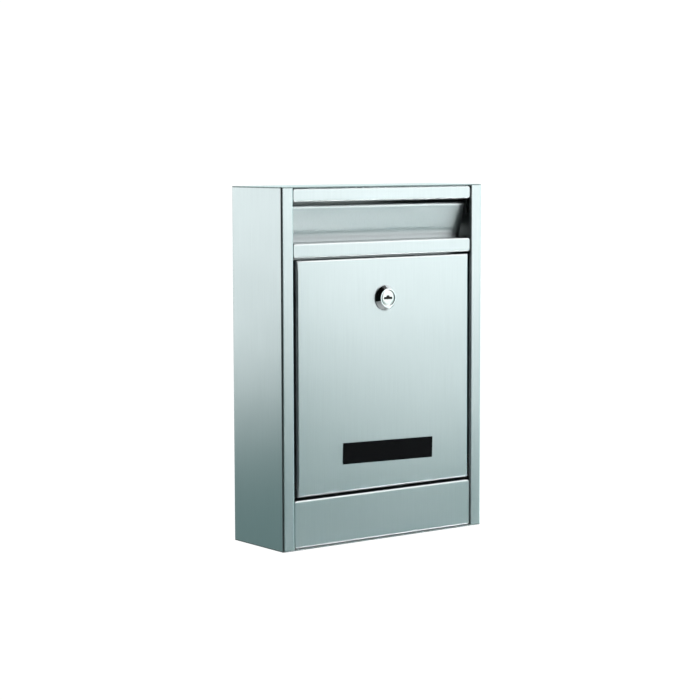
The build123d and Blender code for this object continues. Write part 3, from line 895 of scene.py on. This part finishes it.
class MAILBOX_OT_name_plate(bpy.types.Operator):
    """Thin black plate stuck to the door"""

    bl_idname = "mailbox.name_plate"
    bl_label = "Name plate"

    def execute(self, context):
        low, high = box_of("name_plate")
        tilt = context.scene.mailbox_sizes.plate_tilt
        centre = (low + high) / 2
        width, height = np.linalg.solve(
            [[math.cos(tilt), abs(math.sin(tilt))], [abs(math.sin(tilt)), math.cos(tilt)]],
            [high[0] - low[0], high[2] - low[2]])

        def on_door(u, v, depth):
            x, z = u * math.cos(tilt) - v * math.sin(tilt), u * math.sin(tilt) + v * math.cos(tilt)
            return centre[0] + x, low[1] + depth, centre[2] + z

        skin = Skin()
        us = grid_lines(-width / 2 + PLATE_CORNER, width / 2 - PLATE_CORNER, 8.0)
        vs = grid_lines(-height / 2 + PLATE_CORNER, height / 2 - PLATE_CORNER, 6.0)
        plate(skin, us, vs, high[1] - low[1], PLATE_CORNER, 0.12, on_door)
        make_piece("name_plate_card", skin, "door", "black_plate", ["name_plate"])
        return {"FINISHED"}


# ---- Letter flap ----
class MAILBOX_OT_letter_flap(bpy.types.Operator):
    """Flap with its upper edge curled round the rod, and the rod with a clip on each end"""

    bl_idname = "mailbox.letter_flap"
    bl_label = "Letter flap"

    def execute(self, context):
        rod, sheet, curl = joint_place("flap_hinge"), mm("sheet"), mm("curl")
        tilt = context.scene.mailbox_sizes.flap_tilt
        low, high = box_of("letter_flap")
        drop = (rod[2] - low[2] - curl * math.sin(tilt)) / math.cos(tilt)
        angles = np.linspace(math.pi, CURL_END, 40)
        swing = np.stack([np.cos(angles), np.sin(angles)], axis=1)
        heights = np.linspace(-drop, 0, 8, endpoint=False)
        sides = []
        for radius in (curl, curl - sheet):
            straight = np.stack([np.full(len(heights), -radius), heights], axis=1)
            side = np.concatenate([straight, radius * swing])
            sides.append(turned_by(side, tilt) + rod[1:])
        skin = Skin()
        bar(skin, sides[0], sides[1], "X", low[0], high[0])
        make_piece("letter_flap_curl", skin, "flap", "brushed_stainless", ["letter_flap"],
                   bevel=0.1)
        low, high = box_of("flap_rod")
        radius = (high[2] - low[2]) / 2
        skin = Skin()
        ends = [(0, low[0]), (radius - ROD_CHAMFER, low[0]), (radius, low[0] + ROD_CHAMFER),
                (radius, high[0] - ROD_CHAMFER), (radius - ROD_CHAMFER, high[0]), (0, high[0])]
        turned(skin, ends, rod[1:], "X")
        make_piece("flap_rod_bar", skin, "casing", "plain_stainless", ["flap_rod"])
        low, high = box_of("flap_rod_clips")
        skin = Skin()
        for start, end in ((low[0], low[0] + CLIP_THICK), (high[0] - CLIP_THICK, high[0])):
            bush(skin, (high[2] - low[2]) / 2, radius, start, end, rod[1:], "X", 0.15)
        make_piece("flap_rod_push_clips", skin, "casing", "zinc_plated_steel", ["flap_rod_clips"])
        return {"FINISHED"}


# ---- Cam lock ----
def lock_axis():
    """Centre of the lock in X and Z."""
    low, high = box_of("lock_plug")
    return (low[[0, 2]] + high[[0, 2]]) / 2


class MAILBOX_OT_lock_housing(bpy.types.Operator):
    """Tapered head in front of the door, with a threaded barrel and its nut behind"""

    bl_idname = "mailbox.lock_housing"
    bl_label = "Lock housing"

    def execute(self, context):
        low, high = box_of("lock_housing")
        face, back = low[1], high[1]
        door = box_of("door_panel")[0][1]
        rim = (high[0] - low[0]) / 2
        axis = lock_axis()
        head = eased([
            (BORE_R, door), (BORE_R, face), (RING_R, face), (rim, door - RIM_EDGE), (rim, door),
            (BARREL_R, door)], [0, 0.5, 0.35, 0.2, 0.1, 0], 5)
        skin = Skin()
        turned(skin, head, axis)
        places = np.arange(door, back - THREAD_END, THREAD_PITCH / 10)
        angles = np.linspace(0, 2 * math.pi, TURN_STEPS, endpoint=False)
        turn = places[:, None] / THREAD_PITCH + angles[None] / (2 * math.pi)
        wave = abs(2 * (turn % 1) - 1)  # triangle wave once round for each pitch along: a helix
        fade = np.clip((back - THREAD_END - places) / THREAD_PITCH, 0, 1)[:, None]
        radius = BARREL_R - THREAD_DEPTH * (1 - fade * (1 - wave))
        radius = np.minimum(radius, BARREL_FLAT / np.maximum(abs(np.cos(angles)), TINY))
        radius = np.concatenate([radius[:1] * 0 + BARREL_R, radius,
                                 np.full((1, len(angles)), BARREL_R - 2 * THREAD_DEPTH),
                                 np.full((2, len(angles)), BORE_R)])
        along = np.concatenate([[door], places, [back, back, door]])[:, None]
        swept(skin, radius, along, axis, angles)
        make_piece("lock_housing_head", skin, "door", "chrome_plate", ["lock_housing"], angle=28)
        self.nut(axis, door)
        return {"FINISHED"}

    def nut(self, axis, door):
        """Hexagon whose corners are turned off: each radius is the nearer of flat and cone."""
        low, high = box_of("lock_nut")
        flat = (high[2] - low[2]) / 2

        def hexagon(angles):
            return flat / np.cos((angles - math.pi / 6) % (math.pi / 3) - math.pi / 6)

        section = [(BARREL_R, low[1]), (flat, low[1]), (flat * NUT_CORNER, low[1] + NUT_CHAMFER),
                   (flat * NUT_CORNER, high[1] - NUT_CHAMFER), (flat, high[1]), (BARREL_R, high[1])]
        skin = Skin()
        turned(skin, section, axis, closed=True, limit=hexagon)
        make_piece("lock_nut_hexagon", skin, "door", "zinc_plated_steel", ["lock_nut"], bevel=0.1)


def keyway_reach(angle, grow=0.0):
    """Key slot from its centre, as a function of the angle: the farther of a rectangle and a dome
    that stands on the rectangle's lower side."""
    c, s = np.cos(angle), np.sin(angle)
    half, rise, dome = KEYWAY_HALF + grow, KEYWAY_RISE + grow, KEYWAY_DOME_R + grow
    floor = np.where(s < 0, rise / np.maximum(-s, TINY), np.inf)
    slot = np.minimum(half / np.maximum(abs(c), TINY), rise / np.maximum(abs(s), TINY))
    bulge = KEYWAY_DOME_UP * s + np.sqrt(dome ** 2 - (KEYWAY_DOME_UP * c) ** 2)
    return np.maximum(slot, np.minimum(bulge, floor))


class MAILBOX_OT_lock_plug(bpy.types.Operator):
    """Turning core with its keyway, wafers, cam, washer and screw"""

    bl_idname = "mailbox.lock_plug"
    bl_label = "Lock core"

    def execute(self, context):
        low, high = box_of("lock_plug")
        face, axis = low[1], lock_axis()
        cam_front = box_of("lock_cam")[0][1]
        ends = [math.atan2(z, x) for x in (-KEYWAY_HALF, KEYWAY_HALF)
                for z in (-KEYWAY_RISE, KEYWAY_RISE)]
        dome = math.sqrt(KEYWAY_DOME_R ** 2 - (KEYWAY_RISE - KEYWAY_DOME_UP) ** 2)
        ends += [math.atan2(KEYWAY_RISE, x) for x in (-dome, dome)]
        angles = np.unique(np.concatenate([np.linspace(-math.pi, math.pi, 129)[:-1], ends]))
        slot, lip = keyway_reach(angles), keyway_reach(angles, KEYWAY_LIP)
        circle = np.full(len(angles), PLUG_R - PLUG_BEVEL)
        tang = TANG_HALF / np.maximum(abs(np.cos(angles)), abs(np.sin(angles)))
        rows = [(slot * 0, face + KEYWAY_DEPTH), (slot, face + KEYWAY_DEPTH),
                (slot, face + KEYWAY_LIP), (lip, face),
                ((2 * lip + circle) / 3, face), ((lip + 2 * circle) / 3, face),
                (circle, face), (circle + PLUG_BEVEL, face + PLUG_BEVEL_DEPTH),
                (circle + PLUG_BEVEL, cam_front),
                (tang, cam_front), (tang, high[1]), (tang * 0, high[1])]
        radius = np.stack([row[0] for row in rows])
        skin = Skin()
        swept(skin, radius, np.array([row[1] for row in rows])[:, None], axis, angles)
        make_piece("lock_plug_core", skin, "lock_core", "lock_nickel", ["lock_plug"])
        washer_low, washer_high = box_of("cam_washer")
        skin = Skin()
        bush(skin, (washer_high[0] - washer_low[0]) / 2, WASHER_HOLE_R, washer_low[1],
             washer_high[1], axis, "Y", 0.12)
        make_piece("cam_washer_ring", skin, "lock_core", "zinc_plated_steel", ["cam_washer"])
        for node, slot_name in (("lock_cam", "zinc_plated_steel"),
                                ("cam_screw", "zinc_plated_steel"),
                                ("lock_wafers", "brass_wafer")):
            copy_of_node(node, node + "_part", "lock_core", slot_name, 0.1)
        return {"FINISHED"}


# ---- Hinges and buffers ----
class MAILBOX_OT_hinges(bpy.types.Operator):
    """Door pins with their bushes, and the brackets of the door and the flap"""

    bl_idname = "mailbox.hinges"
    bl_label = "Hinges"

    def execute(self, context):
        pin_at = joint_place("door_hinge")[1:]
        for side, hand in ((-1, "left"), (1, "right")):
            low, high = box_of("hinge_pin_" + hand)
            inner, outer = sorted((abs(low[0]), abs(high[0])))
            head, tail = inner + PIN_HEAD, outer - PIN_TAIL
            section = eased([(0, inner), (PIN_HEAD_R, inner), (PIN_HEAD_R, head), (PIN_R, head),
                             (PIN_R, tail), (PIN_TAIL_R, tail), (PIN_TAIL_R, outer), (0, outer)],
                            [0, 0.4, 0.1, 0, 0, 0.1, 0.4, 0])
            skin = Skin()
            turned(skin, section * (1, side), pin_at, "X")
            make_piece("hinge_pin_rivet_" + hand, skin, "casing", "plain_stainless",
                       ["hinge_pin_" + hand])
            low, high = box_of("hinge_spacer_" + hand)
            skin = Skin()
            bush(skin, (high[2] - low[2]) / 2, PIN_R + PIN_PLAY, low[0], high[0], pin_at, "X", 0.2)
            make_piece("hinge_spacer_bush_" + hand, skin, "casing", "black_nylon",
                       ["hinge_spacer_" + hand])
            for node in ("hinge_bracket_" + hand, "flap_bracket_" + hand):
                copy_of_node(node, node + "_channel", "casing", "plain_stainless", 0.15)
        return {"FINISHED"}


class MAILBOX_OT_buffers(bpy.types.Operator):
    """Rubber buffers on the keeper lip, dished on their faces"""

    bl_idname = "mailbox.buffers"
    bl_label = "Door buffers"

    def execute(self, context):
        low, high = box_of("door_bumpers")
        radius = (high[2] - low[2]) / 2
        skin = Skin()
        for x in (low[0] + radius, high[0] - radius):
            section = eased([(0, low[1] + BUFFER_DISH), (radius * 0.5, low[1] + BUFFER_DISH / 2),
                             (radius * 0.7, low[1]), (radius, low[1]),
                             (radius, high[1]), (0, high[1])],
                            [0, 0.8, 0.2, 0.5, 0.1, 0])
            turned(skin, section, (x, (low[2] + high[2]) / 2))
        make_piece("door_bumper_buttons", skin, "casing", "black_rubber", ["door_bumpers"])
        return {"FINISHED"}


# ---- Studio ----
def area_light(name, centre, aim, width, height, glow, roll, spread):
    """Soft box that faces a point, hidden from the camera. Sizes are in millimetres, roll and
    spread in degrees, and glow is the radiance of its face."""
    light = bpy.data.lights.new(name, "AREA")
    light.shape = "RECTANGLE"
    light.size, light.size_y = width * MM, height * MM
    light.energy = glow * math.pi * light.size * light.size_y
    light.spread = math.radians(spread)
    lamp = placed(name, light)
    turn = (Vector(aim) - Vector(centre)).to_track_quat("-Z", "Y").to_matrix().to_4x4()
    lamp.matrix_world = (Matrix.Translation(Vector(centre) * MM) @ turn
                         @ Matrix.Rotation(math.radians(roll), 4, "Z"))
    lamp.visible_camera = False


class MAILBOX_OT_stage(bpy.types.Operator):
    """Pale floor, soft light and the camera"""

    bl_idname = "mailbox.stage"
    bl_label = "Studio"

    def execute(self, context):
        self.floor()
        self.world(context.scene)
        for soft_box in SOFT_BOXES:
            area_light(*soft_box)
        self.camera(context.scene)
        context.scene.view_settings.view_transform = "Standard"
        return {"FINISHED"}

    def floor(self):
        """Flat disc of rings under the box."""
        level = CAD_LOW.z / MM - FLOOR_DROP
        skin = Skin()
        rings = [(0, level), (FLOOR_R, level), (FLOOR_R, level - FLOOR_THICK),
                 (0, level - FLOOR_THICK)]
        turned(skin, rings, (0, 0), "Z")
        floor = placed("studio_floor", mesh_of("studio_floor", skin))
        floor.data.materials.append(*finishes_of("floor"))

    def world(self, scene):
        """White for the camera. For the light it is greenish grey at the horizon, dimmer overhead
        and a little dimmer below, near white towards the sweep, and dark on the viewer's side."""
        world = bpy.data.worlds.new("studio")
        scene.world = world
        world.use_nodes = True
        tree = world.node_tree
        tree.nodes.clear()
        way = add(tree, "TexCoord").outputs["Generated"]
        height = add(tree, "SeparateXYZ", {"Vector": way}).outputs["Z"]
        dip = ranged(tree, height, 0.8, 1.0, -0.2, 0.0)
        sky = ranged(tree, height, HORIZON_GLOW, OVERHEAD_GLOW, 0.0, 0.5)
        behind = add(tree, "VectorMath", {0: way, 1: BRIGHT_SIDE},
                     operation="DOT_PRODUCT").outputs["Value"]
        sweep = ranged(tree, behind, 0.0, SWEEP_GLOW, 0.5, 0.8)
        away = add(tree, "VectorMath", {0: way, 1: DARK_SIDE},
                   operation="DOT_PRODUCT").outputs["Value"]
        room = ranged(tree, away, 1.0, ROOM_GLOW, 0.3, 0.55)
        strength = sky
        for other, operation in ((room, "MULTIPLY"), (dip, "MULTIPLY"), (sweep, "ADD")):
            strength = add(tree, "Math", {0: strength, 1: other},
                           operation=operation).outputs["Value"]
        share = ranged(tree, height, 0.0, 1.0, 0.0, 0.5)
        tint = blend_colours(tree, share, LOW_TINT, (1, 1, 1))
        lit = add(tree, "Background", {"Color": tint, "Strength": strength})
        seen = add(tree, "Background", {"Color": (1, 1, 1, 1),
                                                   "Strength": SEEN_WHITE})
        camera_ray = add(tree, "LightPath").outputs["Is Camera Ray"]
        both = add(tree, "MixShader", {0: camera_ray, 1: lit.outputs[0],
                                                 2: seen.outputs[0]})
        add(tree, "OutputWorld", {"Surface": both.outputs["Shader"]})

    def camera(self, scene):
        """Camera at the view's distance from its aim, turned by yaw, pitch and roll."""
        forward = Vector((math.sin(VIEW_YAW) * math.cos(VIEW_PITCH),
                          math.cos(VIEW_YAW) * math.cos(VIEW_PITCH), -math.sin(VIEW_PITCH)))
        camera = bpy.data.cameras.new("view")
        camera.lens, camera.sensor_width = LENS, 36.0
        camera.clip_start, camera.clip_end = 0.05, 100.0
        eye = placed("view", camera)
        turn = forward.to_track_quat("-Z", "Y").to_matrix().to_4x4()
        place = Matrix.Translation((Vector(VIEW_AIM) * MM) - forward * VIEW_DISTANCE * MM)
        eye.matrix_world = place @ turn @ Matrix.Rotation(VIEW_ROLL, 4, "Z")
        scene.camera = eye


# ---- Panel and registration ----
STEPS = (
    MAILBOX_OT_body_shell, MAILBOX_OT_covers, MAILBOX_OT_rails, MAILBOX_OT_door,
    MAILBOX_OT_name_plate, MAILBOX_OT_letter_flap, MAILBOX_OT_lock_housing, MAILBOX_OT_lock_plug,
    MAILBOX_OT_hinges, MAILBOX_OT_buffers, MAILBOX_OT_stage,
)


class MAILBOX_PT_panel(bpy.types.Panel):
    """Sizes, colours and one button for each group of pieces"""

    bl_label = "Wall mailbox"
    bl_idname = "MAILBOX_PT_panel"
    bl_space_type = "VIEW_3D"
    bl_region_type = "UI"
    bl_category = "Mailbox"

    def draw(self, context):
        for group in (context.scene.mailbox_sizes, context.scene.mailbox_colours):
            box = self.layout.box()
            for name in group.bl_rna.properties.keys():
                if name not in ("rna_type", "name"):
                    box.prop(group, name)
        for step in STEPS:
            self.layout.operator(step.bl_idname)


CLASSES = (MailboxSizes, MailboxColours, *STEPS, MAILBOX_PT_panel)


def register():
    for cls in CLASSES:
        bpy.utils.register_class(cls)
    bpy.types.Scene.mailbox_sizes = PointerProperty(type=MailboxSizes)
    bpy.types.Scene.mailbox_colours = PointerProperty(type=MailboxColours)


def unregister():
    del bpy.types.Scene.mailbox_colours
    del bpy.types.Scene.mailbox_sizes
    for cls in reversed(CLASSES):
        bpy.utils.unregister_class(cls)


def main():
    """Builds every piece in order."""
    register()
    for step in STEPS:
        getattr(bpy.ops.mailbox, step.bl_idname.split(".")[1])()


if __name__ == "__main__":
    main()
